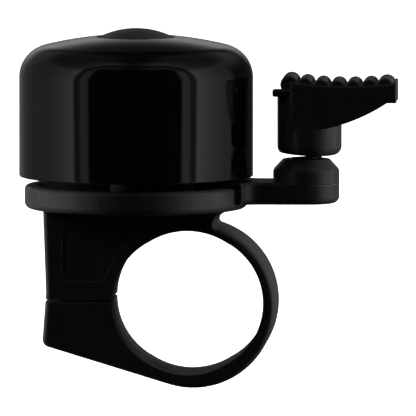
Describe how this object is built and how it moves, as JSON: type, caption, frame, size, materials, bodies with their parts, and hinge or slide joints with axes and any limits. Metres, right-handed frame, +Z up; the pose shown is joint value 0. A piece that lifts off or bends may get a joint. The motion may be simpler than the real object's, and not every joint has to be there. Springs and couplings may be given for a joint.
{
  "type": "bicycle bell",
  "caption": "Small dome bicycle bell on a split handlebar clamp, rung by a ribbed thumb lever that flicks its hammer on a coil-spring neck.",
  "frame": {"origin": "centre of the handlebar bore, at the middle of the clamp's width", "axes": "+Y along the handlebar, +Z up through the clamp towards the bell's dome, +X from the clamp screw towards the thumb lever"},
  "size_m": [0.0581, 0.036, 0.0549],
  "materials": {
    "dome_paint": "gloss",
    "cap_plastic": "satin",
    "base_plastic": "satin",
    "clamp_plastic": "satin",
    "lever_plastic": "satin",
    "collar_plastic": "satin",
    "zinc_steel": "zinc plated",
    "black_steel": "black oxide",
    "spring_steel": "oiled",
    "nylon": "matte"
  },
  "bodies": {
    "bell_body": {"bell_dome": "dome_paint", "dome_cap": "cap_plastic", "dome_washer": "zinc_steel", "dome_spring_washer": "zinc_steel", "dome_screw": "zinc_steel", "dome_seat_washer": "nylon", "dome_pillar": "zinc_steel", "base_nut": "zinc_steel", "base_plate": "base_plastic", "clamp_band": "clamp_plastic", "clamp_washer": "zinc_steel", "clamp_screw": "zinc_steel", "clamp_nut": "zinc_steel", "spring_collar": "collar_plastic", "collar_screw": "zinc_steel"},
    "spring_neck": {"striker_spring": "spring_steel"},
    "striker": {"thumb_lever": "lever_plastic", "hammer_pin": "black_steel"}
  },
  "joints": [
    {"name": "striker_flick", "type": "hinge", "parent": "bell_body", "child": "spring_neck", "pos_m": [0.0179, 0, 0.0221], "axis": [0, 1, 0], "range_deg": [-18, 10], "stiffness_Nm_per_rad": 0.05, "deforming": ["striker_spring"]},
    {"name": "striker_side_flick", "type": "hinge", "parent": "spring_neck", "child": "striker", "pos_m": [0.0179, 0, 0.0221], "axis": [1, 0, 0], "range_deg": [-6, 6], "stiffness_Nm_per_rad": 0.05, "deforming": ["striker_spring"]}
  ]
}
